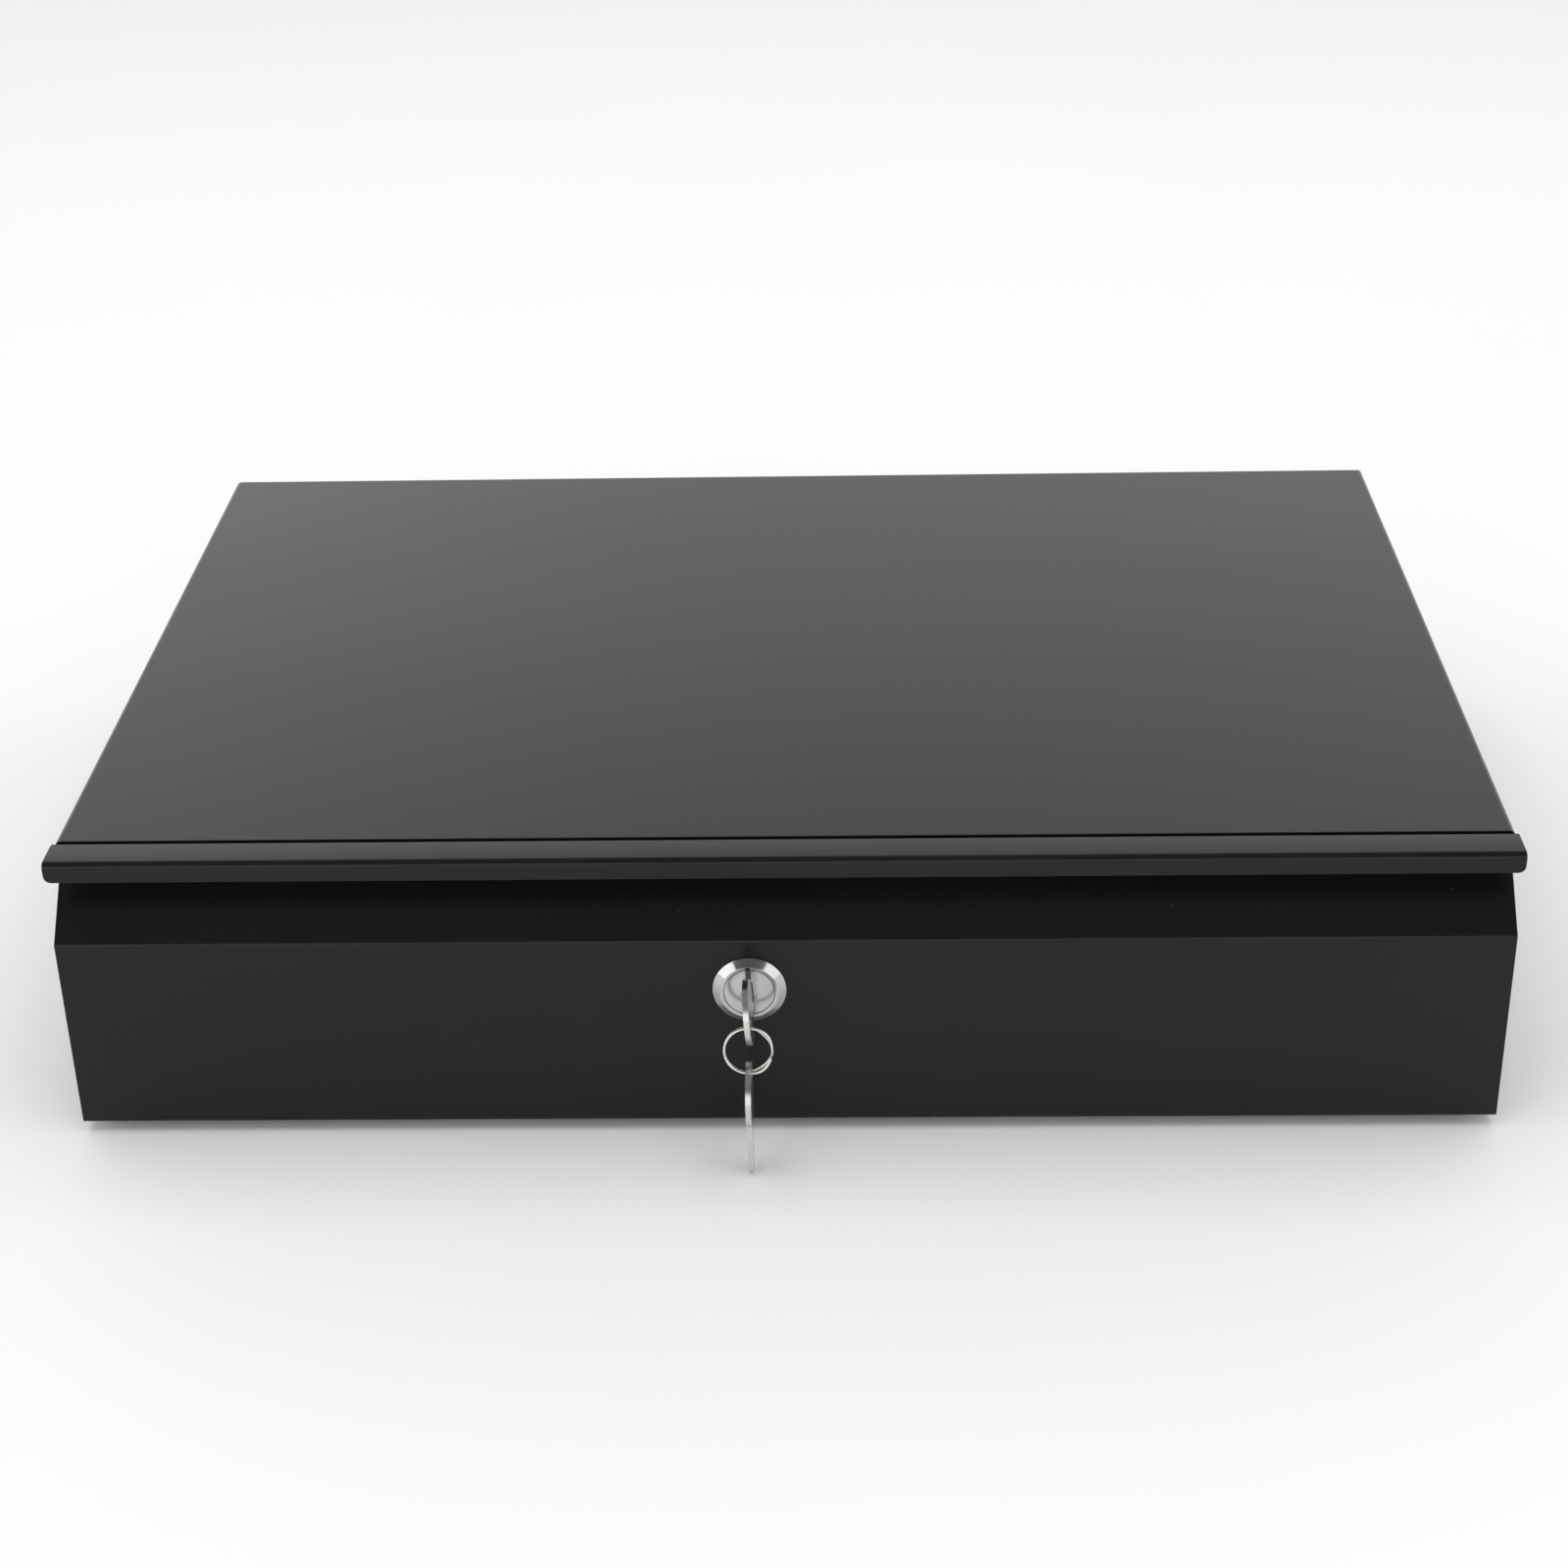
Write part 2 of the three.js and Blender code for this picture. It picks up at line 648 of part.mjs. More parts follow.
function tillTray() {
  const above = trayTop + 2 * TRAY_CORNER;
  const block = roundedRectangle(-trayHalf, trayHalf, trayBottom, above, TRAY_CORNER);
  const outer = prismY(block, trayFront, trayBack)
    .subtract(box(-WIDTH, WIDTH, 0, DEPTH, trayTop, above + OVERRUN));
  const within = trayHalf - TRAY_WALL;
  const coinBay = box(-within, within, trayFront + TRAY_WALL, ribFront, trayFloor, top);
  const noteBay = box(-within, within, ribFront + TRAY_WALL, trayBack - TRAY_WALL, trayFloor, top);
  const socket = ROD_RADIUS + ROD_PLAY;
  const rodLine = cylinderX(rodY, rodZ, socket, -within - ROD_SOCKET, within + ROD_SOCKET);
  return outer.subtract(coinBay).subtract(noteBay).subtract(rodLine);
}

function addDividers() {
  for (let i = 1; i < BAYS; i += 1) {
    const x = -trayHalf + TRAY_WALL + i * bayWidth;
    const y0 = ribFront + TRAY_WALL + FIT_GAP;
    const y1 = trayBack - TRAY_WALL - FIT_GAP;
    const low = trayFloor + SEAT_GAP;
    const high = trayTop - DIVIDER_DROP;
    const side = [
      [y0, low],
      [y1, low],
      [y1, high],
      [y0 + DIVIDER_CHAMFER, high],
      [y0, high - DIVIDER_CHAMFER],
    ];
    const hole = cylinderX(rodY, rodZ, ROD_RADIUS + ROD_PLAY, x - DIVIDER, x + DIVIDER);
    const plate = prismX(side, x - DIVIDER / 2, x + DIVIDER / 2).subtract(hole);
    add(`note_divider_${i}`, 'blackPlastic', plate);
  }
}

// Coin cups are scooped at the front, so that a finger draws the coins up.
function cupSide(inset) {
  const y0 = trayFront + TRAY_WALL + CUP_GAP + inset;
  const y1 = ribFront - CUP_GAP - inset;
  const low = trayFloor + SEAT_GAP + inset;
  const scoop = CUP_CORNER - inset;
  const arc = Array.from({ length: SCOOP_STEPS + 1 }, (_, i) => {
    const angle = Math.PI * (1 + i / SCOOP_STEPS / 2);
    return [y0 + scoop + scoop * Math.cos(angle), low + scoop + scoop * Math.sin(angle)];
  });
  return { y0, y1, low, arc };
}

function addCoinCups() {
  const outer = cupSide(0);
  const inner = cupSide(CUP_WALL);
  const high = trayTop - CUP_DROP;
  for (let i = 0; i < BAYS; i += 1) {
    const x0 = -trayHalf + TRAY_WALL + i * bayWidth + CUP_GAP;
    const x1 = x0 + bayWidth - 2 * CUP_GAP;
    const block = prismX([...outer.arc, [outer.y1, outer.low], [outer.y1, high], [outer.y0, high]], x0, x1);
    const hollow = prismX(
      [...inner.arc, [inner.y1, inner.low], [inner.y1, top], [inner.y0, top]],
      x0 + CUP_WALL,
      x1 - CUP_WALL,
    );
    add(`coin_cup_${i + 1}`, 'blackPlastic', block.subtract(hollow));
  }
}

function addNoteClips() {
  const within = trayHalf - TRAY_WALL + ROD_SOCKET - FIT_GAP;
  add('clip_rod', 'zinc', cylinderX(rodY, rodZ, ROD_RADIUS, -within, within));
  const tipY = rodY - CLIP_REACH;
  const tipZ = rodZ - CLIP_DROP;
  const arm = [
    [rodY, rodZ + CLIP_BARREL - CLIP_SHEET / 2],
    [rodY - CLIP_BARREL, rodZ + CLIP_BARREL - CLIP_SHEET / 2],
    [tipY, tipZ],
    [tipY - CLIP_CURL, tipZ + CLIP_CURL],
  ];
  for (let i = 0; i < BAYS; i += 1) {
    const x = -trayHalf + TRAY_WALL + (i + 0.5) * bayWidth;
    const x0 = x - CLIP_WIDTH / 2;
    const x1 = x + CLIP_WIDTH / 2;
    const lever = prismX(folded(arm, -CLIP_SHEET), x0, x1);
    const barrel = cylinderX(rodY, rodZ, CLIP_BARREL, x0, x1);
    const bore = cylinderX(rodY, rodZ, ROD_RADIUS + ROD_PLAY, x0 - OVERRUN, x1 + OVERRUN);
    add(`note_clip_${i + 1}`, 'blackPlastic', lever.add(barrel).subtract(bore));
  }
}

function atLock(solid) {
  return solid.translate([LOCK_X, 0, lockZ]);
}

// The bore steps down behind the plug's face, and the rim is bevelled down to the front.
function lockBody() {
  const faceBore = PLUG_FACE_RADIUS + LOCK_PLAY;
  const bore = PLUG_RADIUS + ROD_PLAY;
  const step = plugFace + PLUG_FACE_DEPTH + LOCK_PLAY;
  const bezelRadius = BARREL_RADIUS + BEZEL_SEAT;
  return atLock(turned([
    [faceBore, -BEZEL_PROUD],
    [BEZEL_RIM, -BEZEL_PROUD],
    [bezelRadius, -SEAT_GAP - BEZEL_EDGE],
    [bezelRadius, -SEAT_GAP],
    [BARREL_RADIUS, -SEAT_GAP],
    [BARREL_RADIUS, barrelBack],
    [bore, barrelBack],
    [bore, step],
    [faceBore, step],
  ], FINE, 'y'));
}

function lockWasher() {
  const front = FRONT_SHEET + SEAT_GAP;
  const inner = BARREL_RADIUS + LOCK_PLAY;
  const outer = BARREL_RADIUS + WASHER_WALL;
  return atLock(turned([
    [inner, front],
    [outer, front],
    [outer, front + WASHER],
    [inner, front + WASHER],
  ], ROUND, 'y'));
}

function lockNut() {
  const front = FRONT_SHEET + WASHER + 2 * SEAT_GAP;
  const corner = (BARREL_RADIUS + NUT_WALL) / Math.cos(Math.PI / HEXAGON);
  const hexagon = prismY(circle(0, 0, corner, HEXAGON), front, front + NUT_THICKNESS);
  return atLock(hexagon.subtract(cylinderY(0, 0, BARREL_RADIUS + LOCK_PLAY, 0, barrelBack, FINE)));
}

function lockPlug() {
  const faceBack = plugFace + PLUG_FACE_DEPTH;
  const shaftBack = barrelBack + LOCK_PLAY;
  const half = CAM_SQUARE / 2;
  const keyway = BLADE_HEIGHT / 2 + KEY_PLAY;
  const keywayFront = plugFace - OVERRUN;
  const keywayBack = keyShoulder + BLADE_LENGTH + KEYWAY_END;
  const across = KEY_SHEET / 2 + KEY_PLAY;
  const slot = box(-across, across, keywayFront, keywayBack, -keyway, keyway)
    .rotate([0, THREE.MathUtils.radToDeg(KEYWAY_LEAN), 0]);
  const body = union(
    cylinderY(0, 0, PLUG_FACE_RADIUS, plugFace, faceBack, FINE),
    cylinderY(0, 0, PLUG_RADIUS, faceBack - OVERRUN, shaftBack, FINE),
    box(-half, half, shaftBack - OVERRUN, camBack, -half, half),
  );
  const dimple = cylinderY(0, 0, KEYWAY_DIMPLE_RADIUS, keywayFront, plugFace + KEYWAY_DIMPLE);
  const holeFront = camScrewFront - CAM_SCREW_END;
  const screwHole = cylinderY(0, 0, SCREW_RADIUS + SCREW_CLEARANCE, holeFront, camBack + OVERRUN);
  return atLock(body.subtract(slot).subtract(dimple).subtract(screwHole));
}

// At rest the cam points to the side, clear of the strike, so the drawer is unlocked.
function lockCam() {
  const hub = cylinderY(0, 0, CAM_WIDTH / 2 + CAM_HUB, camFront, camBack);
  const arm = prismY(
    roundedRectangle(-CAM_LENGTH, CAM_WIDTH / 2, -CAM_WIDTH / 2, CAM_WIDTH / 2, CAM_CORNER),
    camFront,
    camBack,
  );
  const half = CAM_SQUARE / 2 + LOCK_PLAY;
  return atLock(hub.add(arm).subtract(box(-half, half, 0, DEPTH, -half, half)));
}

function camScrew() {
  const seat = camBack + SEAT_GAP;
  const radius = CAM_SQUARE / 2 + CAM_SCREW_BORDER;
  const high = seat + SCREW_HEAD + CAM_SCREW_SLOT;
  const head = cylinderY(0, 0, radius, seat, high);
  const shank = cylinderY(0, 0, SCREW_RADIUS, camScrewFront, seat + OVERRUN, COARSE);
  const half = SCREW_SLOT / 2;
  const slot = box(-radius - OVERRUN, radius + OVERRUN, seat + SCREW_HEAD, high + OVERRUN, -half, half);
  return atLock(head.add(shank).subtract(slot));
}

// A flat key in the plane of Y and Z: the shoulder is at the origin, the bow reaches towards -Y
// and the blade towards +Y, with its cuts on the upper edge.
function keyBlank() {
  const bowCentre = -(BOW_REACH - BOW_RADIUS);
  const half = BLADE_HEIGHT / 2;
  const bow = circle(bowCentre, 0, BOW_RADIUS, FINE);
  const pitch = BLADE_LENGTH / (KEY_CUTS.length + 1);
  const mouth = (pitch * KEY_CUT_SPAN) / 2;
  const root = KEY_CUT_FLAT / 2;
  const cuts = KEY_CUTS.flatMap((depth, i) => {
    const y = BLADE_LENGTH - (i + 1) * pitch;
    return [[y + mouth, half], [y + root, half - depth], [y - root, half - depth], [y - mouth, half]];
  });
  const blade = [
    [bowCentre, -half],
    [BLADE_LENGTH - KEY_TIP_CHAMFER, -half],
    [BLADE_LENGTH, -half + KEY_TIP_CHAMFER],
    [BLADE_LENGTH, half - KEY_TIP_RISE],
    [BLADE_LENGTH - KEY_TIP_RUN, half],
    ...cuts,
    [bowCentre, half],
  ];
  const shoulder = half + KEY_SHOULDER;
  const neck = [[bowCentre, -shoulder], [0, -shoulder], [0, shoulder], [bowCentre, shoulder]];
  const hole = cylinderX(-BOW_REACH + KEY_HOLE_INSET, 0, KEY_HOLE_RADIUS, -KEY_SHEET, KEY_SHEET);
  const flat = (outline) => prismX(outline, -KEY_SHEET / 2, KEY_SHEET / 2);
  return union(flat(bow), flat(blade), flat(neck)).subtract(hole);
}

function key() {
  const lean = THREE.MathUtils.radToDeg(KEYWAY_LEAN);
  return atLock(keyBlank().rotate([0, lean, 0]).translate([0, keyShoulder, 0]));
}

// Both turns of the split ring, as one ring of their joint section.
function keyRing() {
  const inner = RING_RADIUS - RING_WALL / 2;
  const outer = RING_RADIUS + RING_WALL / 2;
  const half = RING_THICKNESS / 2;
  return turned([[inner, -half], [outer, -half], [outer, half], [inner, half]], FINE, 'y')
    .rotate([THREE.MathUtils.radToDeg(-RING_LEAN), 0, 0])
    .translate([LOCK_X, (ringTop.y + ringBottom.y) / 2, (ringTop.z + ringBottom.z) / 2]);
}

// The spare hangs by its own hole from the bottom of the ring.
function spareKey() {
  return keyBlank()
    .translate([0, BOW_REACH - KEY_HOLE_INSET, 0])
    .rotate([-90, 0, 0])
    .translate([LOCK_X, ringBottom.y, ringBottom.z - RING_HANG]);
}

add('top_cover', 'blackSteel', topCover());
add('base_pan', 'blackSteel', basePan());
add('rear_panel', 'blackSteel', rearPanel());
add('front_tie_bar', 'blackSteel', frontTieBar());
add('strike_plate', 'zinc', strikePlate());
addFeetAndScrews();
addBumpers();
addSlides();
add('drawer_front', 'blackSteel', drawerFront());
add('front_lip', 'lipSteel', frontLip());
add('drawer_pan', 'blackSteel', drawerPan());
add('lock_guard', 'blackSteel', lockGuard());
add('till_tray', 'blackPlastic', tillTray());
addDividers();
addCoinCups();
addNoteClips();
add('lock_body', 'chrome', lockBody());
add('lock_washer', 'zinc', lockWasher());
add('lock_nut', 'zinc', lockNut());
add('lock_plug', 'chrome', lockPlug());
add('lock_cam', 'zinc', lockCam());
add('cam_screw', 'zinc', camScrew());
add('key', 'nickel', key());
add('key_ring', 'nickel', keyRing());
add('spare_key', 'nickel', spareKey());

// The origin goes under the middle of everything, keys included.
const extent = new THREE.Box3().setFromObject(assembly);
assembly.position.y = -(extent.min.y + extent.max.y) / 2;

const cashDrawer = new THREE.Group();
cashDrawer.add(assembly);

export default cashDrawer;
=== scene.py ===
import json
import math

import bmesh
import bpy
from mathutils import Matrix, Vector


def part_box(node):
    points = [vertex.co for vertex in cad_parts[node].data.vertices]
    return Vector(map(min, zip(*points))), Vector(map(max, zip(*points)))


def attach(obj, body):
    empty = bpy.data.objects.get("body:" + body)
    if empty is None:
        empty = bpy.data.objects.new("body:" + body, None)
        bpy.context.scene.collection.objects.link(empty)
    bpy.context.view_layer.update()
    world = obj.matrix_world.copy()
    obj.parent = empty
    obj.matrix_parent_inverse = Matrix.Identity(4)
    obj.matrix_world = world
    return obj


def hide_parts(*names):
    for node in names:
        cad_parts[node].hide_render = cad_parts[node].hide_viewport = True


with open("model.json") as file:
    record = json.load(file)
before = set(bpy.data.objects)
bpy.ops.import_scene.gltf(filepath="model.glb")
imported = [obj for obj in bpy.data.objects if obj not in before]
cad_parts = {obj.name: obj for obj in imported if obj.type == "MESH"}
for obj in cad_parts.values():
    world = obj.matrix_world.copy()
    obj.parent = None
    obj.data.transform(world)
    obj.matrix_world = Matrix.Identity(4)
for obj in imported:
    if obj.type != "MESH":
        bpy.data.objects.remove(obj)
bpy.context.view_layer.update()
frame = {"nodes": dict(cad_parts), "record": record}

MM = 0.001
NODES = frame["nodes"]
BODY_OF = {node: body for body, group in frame["record"]["behaviour"]["bodies"].items() for node in group}
SLOT_OF = {part["node"]: part["material_slot"] for part in frame["record"]["subparts"]}


# ---------------------------------------------------------------- shader building

class Term:
    """A shader value. Arithmetic on it adds the Math nodes that work it out."""

    def __init__(self, graph, socket):
        self.graph = graph
        self.socket = socket

    def math(self, operation, *others):
        inputs = dict(enumerate((self, *others)))
        return self.graph.node("ShaderNodeMath", {"operation": operation}, inputs)

    def __add__(self, other):
        return self.math("ADD", other)

    def __sub__(self, other):
        return self.math("SUBTRACT", other)

    def __mul__(self, other):
        return self.math("MULTIPLY", other)

    __radd__ = __add__
    __rmul__ = __mul__

    def __rsub__(self, other):
        return self.graph.node("ShaderNodeMath", {"operation": "SUBTRACT"}, {0: other, 1: self})

    def between(self, low, high):
        """0 below low, 1 above high and smooth in between."""
        settings = {"interpolation_type": "SMOOTHSTEP"}
        return self.graph.node("ShaderNodeMapRange", settings, {0: self, 1: low, 2: high})


class Graph:
    """A node tree that hands out its values as terms."""

    def __init__(self, tree):
        self.tree = tree

    def node(self, kind, settings=None, inputs=None, output=0):
        made = self.tree.nodes.new(kind)
        for key, value in (settings or {}).items():
            setattr(made, key, value)
        for key, value in (inputs or {}).items():
            if isinstance(value, Term):
                self.tree.links.new(value.socket, made.inputs[key])
            else:
                made.inputs[key].default_value = value
        return Term(self, made.outputs[output])


class Finish(Graph):
    """One procedural material on a Principled shader."""

    def __init__(self, name, **constants):
        self.material = bpy.data.materials.new(name)
        self.material.use_nodes = True
        super().__init__(self.material.node_tree)
        self.shader = self.tree.nodes["Principled BSDF"]
        for socket, value in constants.items():
            self.shader.inputs[socket.replace("_", " ")].default_value = value
        self.place = self.node("ShaderNodeTexCoord", output="Object")

    def feed(self, **terms):
        for socket, term in terms.items():
            self.tree.links.new(term.socket, self.shader.inputs[socket.replace("_", " ")])

    def stretched(self, scale):
        return self.node("ShaderNodeMapping", inputs={"Vector": self.place, "Scale": scale})

    def noise(self, scale, detail=2.0, roughness=0.5, vector=None):
        inputs = {"Vector": vector or self.place, "Scale": scale, "Detail": detail, "Roughness": roughness}
        return self.node("ShaderNodeTexNoise", inputs=inputs)

    def mix(self, factor, first, second):
        colours = [value if isinstance(value, Term) else (*value, 1) for value in (first, second)]
        inputs = {0: factor, 6: colours[0], 7: colours[1]}
        return self.node("ShaderNodeMix", {"data_type": "RGBA"}, inputs, output=2)

    def bump(self, height, strength, depth):
        inputs = {"Height": height, "Strength": strength, "Distance": depth}
        return self.node("ShaderNodeBump", inputs=inputs)


def scaled(tone, share):
    """A colour made darker or lighter."""
    return tuple(channel * share for channel in tone)


def grey(level):
    return (level, level, level)


# ---------------------------------------------------------------- finishes

def powder_coat(name, tone, gloss, peel):
    """Black powder coat: a fine orange peel, faintly cloudy gloss, a few pale specks of dust."""
    coat = Finish(name, Specular_IOR_Level=0.265)
    clouds = coat.noise(scale=9, detail=3)
    wiped = coat.noise(scale=14, vector=coat.stretched((0.35, 1, 1))).between(0.3, 0.9)
    grain = coat.noise(scale=850)
    fine_grain = coat.noise(scale=3400, detail=1)
    dust = coat.noise(scale=560, detail=1, roughness=0.4).between(0.79, 0.81)
    body = coat.mix(clouds.between(0.3, 0.7), scaled(tone, 0.88), scaled(tone, 1.14))
    coat.feed(
        Base_Color=coat.mix(dust * 0.3, body, grey(0.04)),
        Roughness=gloss + (clouds - 0.5) * 0.05 + wiped * 0.03 + dust * 0.2,
        Normal=coat.bump(grain * 0.8 + fine_grain * 0.2, strength=peel, depth=0.1 * MM),
    )
    return coat.material


def zinc_plate(name, grain_scale):
    """Bright zinc on rolled sheet: long rolling lines and a faint blue-yellow cast."""
    zinc = Finish(name, Metallic=1.0)
    clouds = zinc.noise(scale=40, detail=3, roughness=0.6)
    rolled = zinc.noise(scale=60, detail=3, roughness=0.6, vector=zinc.stretched(grain_scale))
    scuffs = zinc.noise(scale=230, detail=4, roughness=0.7).between(0.58, 0.74)
    bluish, yellowish, worn = (0.50, 0.52, 0.55), (0.62, 0.61, 0.58), (0.36, 0.36, 0.37)
    zinc.feed(
        Base_Color=zinc.mix(scuffs * 0.4, zinc.mix(clouds.between(0.35, 0.65), bluish, yellowish), worn),
        Roughness=0.30 + rolled * 0.14 + scuffs * 0.1,
        Normal=zinc.bump(rolled, strength=0.25, depth=0.08 * MM),
    )
    return zinc.material


def polished(name, tone, gloss, lines, scoring):
    """Plated metal: long polishing lines, fine scratches and a little haze."""
    plate = Finish(name, Metallic=1.0)
    haze = plate.noise(scale=90, detail=3, roughness=0.6)
    brushed = plate.noise(scale=220, detail=3, roughness=0.6, vector=plate.stretched(lines))
    scratched = plate.stretched((1, 0.08, 0.5))
    scratches = plate.noise(scale=700, roughness=0.6, vector=scratched).between(0.66, 0.72)
    plate.feed(
        Base_Color=plate.mix(haze.between(0.3, 0.8) * 0.5, tone, scaled(tone, 0.82)),
        Roughness=gloss + haze * 0.05 + brushed * gloss * 0.6 + scratches * 0.12,
        Normal=plate.bump(brushed + scratches, strength=scoring, depth=0.04 * MM),
    )
    return plate.material


def moulded(name, tone, gloss, grain):
    """Moulded plastic with a fine spark texture and rubbed high spots."""
    plastic = Finish(name, Specular_IOR_Level=0.42)
    spark = plastic.node("ShaderNodeTexVoronoi", inputs={"Vector": plastic.place, "Scale": grain})
    clouds = plastic.noise(scale=18, detail=4, roughness=0.6)
    rubbed = plastic.noise(scale=70, detail=5, roughness=0.65).between(0.55, 0.75)
    wear = clouds.between(0.25, 0.75) * 0.6 + rubbed * 0.4
    plastic.feed(
        Base_Color=plastic.mix(wear, tone, scaled(tone, 1.5)),
        Roughness=gloss + (clouds - 0.5) * 0.1 - rubbed * 0.08,
        Normal=plastic.bump(spark, strength=0.3, depth=0.15 * MM),
    )
    return plastic.material


def rubber(name):
    """Soft black rubber with a dusty bloom."""
    soft = Finish(name, Specular_IOR_Level=0.3)
    bloom = soft.noise(scale=120, detail=5, roughness=0.7)
    grain = soft.noise(scale=1500)
    soft.feed(
        Base_Color=soft.mix(bloom.between(0.45, 0.8), grey(0.013), (0.05, 0.048, 0.045)),
        Roughness=0.72 + bloom * 0.2,
        Normal=soft.bump(grain, strength=0.4, depth=0.2 * MM),
    )
    return soft.material


ALONG_DEPTH = (1, 0.04, 1)
ALONG_CAGE = (1, 0.06, 1)
ALONG_BALL = (1, 0.3, 1)
ALONG_KEY = (1, 1, 0.06)
EVERY_WAY = (1, 1, 1)

FINISHES = {
    "painted_steel": powder_coat("powder_coat", (0.0052, 0.0052, 0.0053), gloss=0.26, peel=0.10),
    "lip_steel": powder_coat("lip_paint", (0.0056, 0.0056, 0.0057), gloss=0.24, peel=0.08),
    "zinc_steel": zinc_plate("zinc_plate", ALONG_DEPTH),
    "rubber": rubber("foot_rubber"),
    "cage_brass": polished("cage_brass", (0.62, 0.45, 0.19), 0.26, ALONG_CAGE, scoring=0.2),
    "till_plastic": moulded("till_plastic", (0.021, 0.021, 0.022), gloss=0.44, grain=2600),
    "lock_chrome": polished("lock_chrome", (0.56, 0.56, 0.57), 0.07, EVERY_WAY, scoring=0.04),
    "key_nickel": polished("key_nickel", (0.66, 0.65, 0.62), 0.20, ALONG_KEY, scoring=0.18),
}
BALL_STEEL = polished("ball_steel", (0.66, 0.67, 0.69), 0.12, ALONG_BALL, scoring=0.05)


# ---------------------------------------------------------------- mesh helpers

SHARP = 35
FLAT = 0.5
WELD = 2e-6
SEAM_WELD = 1e-7
QUARTER_TURN = math.pi / 2
FULL_TURN = 2 * math.pi
RIGHT = Vector((1, 0, 0))
BACKWARD = Vector((0, 1, 0))
UPWARD = Vector((0, 0, 1))
CENTRE = Vector((0, 0, 0))


def finished(name, work, body, slot, smooth=SHARP, replaces=(), material=None):
    """Turns a bmesh into a piece that rides on a body, with weighted normals."""
    bmesh.ops.recalc_face_normals(work, faces=work.faces)
    mesh = bpy.data.meshes.new(name)
    work.to_mesh(mesh)
    work.free()
    mesh.polygons.foreach_set("use_smooth", [True] * len(mesh.polygons))
    mesh.set_sharp_from_angle(angle=math.radians(smooth))
    piece = bpy.data.objects.new(name, mesh)
    bpy.context.scene.collection.objects.link(piece)
    mesh.materials.append(material or FINISHES[slot])
    weighted = piece.modifiers.new("even_faces", "WEIGHTED_NORMAL")
    weighted.keep_sharp = True
    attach(piece, body)
    if replaces:
        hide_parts(*replaces)


def merged_copy(node):
    """A bmesh of a CAD node with its loose triangles merged and its flat faces joined."""
    work = bmesh.new()
    work.from_mesh(NODES[node].data)
    bmesh.ops.remove_doubles(work, verts=work.verts, dist=WELD)
    bmesh.ops.dissolve_limit(work, angle_limit=math.radians(FLAT), verts=work.verts, edges=work.edges)
    return work


def soften(work, width, segments=2, sharp=SHARP):
    """Rounds every edge that turns more than the sharp angle."""
    limit = math.radians(sharp)
    edges = [e for e in work.edges if len(e.link_faces) == 2 and e.calc_face_angle(0) > limit]
    bmesh.ops.bevel(
        work, geom=edges, offset=width * MM, offset_type="OFFSET", affect="EDGES",
        segments=segments, profile=0.5, material=-1, clamp_overlap=True,
    )
    bmesh.ops.remove_doubles(work, verts=work.verts, dist=WELD)


def refined(node, width, segments=2):
    """The CAD node's own shape with its sharp edges rounded."""
    work = merged_copy(node)
    soften(work, width, segments)
    finished(f"{node}_piece", work, BODY_OF[node], SLOT_OF[node], replaces=(node,))


def lathe(profile, steps):
    """A closed profile of (radius, height) points in mm, spun a full turn about Y."""
    work = bmesh.new()
    verts = [work.verts.new((radius * MM, height * MM, 0)) for radius, height in profile]
    edges = [work.edges.new((a, b)) for a, b in zip(verts, verts[1:] + verts[:1])]
    bmesh.ops.spin(
        work, geom=verts + edges, cent=CENTRE, axis=BACKWARD, dvec=CENTRE,
        angle=FULL_TURN, steps=steps, use_merge=True, use_duplicate=False,
    )
    bmesh.ops.remove_doubles(work, verts=work.verts, dist=SEAM_WELD)
    return work


def turned(work, matrix):
    bmesh.ops.rotate(work, verts=work.verts, cent=CENTRE, matrix=matrix)


def moved(work, offset):
    bmesh.ops.translate(work, verts=work.verts, vec=offset)


def cut(work, point, normal):
    """Divides every face that a plane crosses."""
    geometry = work.verts[:] + work.edges[:] + work.faces[:]
    bmesh.ops.bisect_plane(work, geom=geometry, dist=SEAM_WELD, plane_co=point, plane_no=normal)


# ---------------------------------------------------------------- pieces that keep the CAD shape

ROUND_STEPS = 3
SHEET_EDGE = 0.25
PAN_EDGE = 0.2
FRONT_EDGE = 0.22
TRAY_EDGE = 0.6
CUP_EDGE = 0.5
CLIP_EDGE = 0.3
DIVIDER_EDGE = 0.3
RUBBER_EDGE = 0.5
SCREW_EDGE = 0.2
SLIDE_EDGE = 0.15
CAGE_EDGE = 0.1
ROD_EDGE = 0.3
WASHER_EDGE = 0.2
NUT_EDGE = 0.5
CAM_EDGE = 0.3
PLUG_EDGE = 0.12

for node in ("top_cover", "rear_panel", "front_tie_bar", "strike_plate", "lock_guard"):
    refined(node, SHEET_EDGE)
refined("base_pan", PAN_EDGE)
refined("drawer_front", FRONT_EDGE, ROUND_STEPS)
refined("drawer_pan", PAN_EDGE)
refined("till_tray", TRAY_EDGE, ROUND_STEPS)
for index in range(1, 6):
    refined(f"coin_cup_{index}", CUP_EDGE, ROUND_STEPS)
    refined(f"note_clip_{index}", CLIP_EDGE)
for index in range(1, 5):
    refined(f"note_divider_{index}", DIVIDER_EDGE)
    refined(f"foot_{index}", RUBBER_EDGE, ROUND_STEPS)
    refined(f"foot_screw_{index}", SCREW_EDGE)
    refined(f"cover_screw_{index}", SCREW_EDGE)
for side in "LR":
    for member in ("slide_outer", "slide_middle", "slide_inner"):
        refined(f"{member}_{side}", SLIDE_EDGE)
    refined(f"rear_bumper_{side}", RUBBER_EDGE, ROUND_STEPS)
refined("clip_rod", ROD_EDGE)
refined("lock_washer", WASHER_EDGE)
refined("lock_nut", NUT_EDGE)
refined("lock_cam", CAM_EDGE)
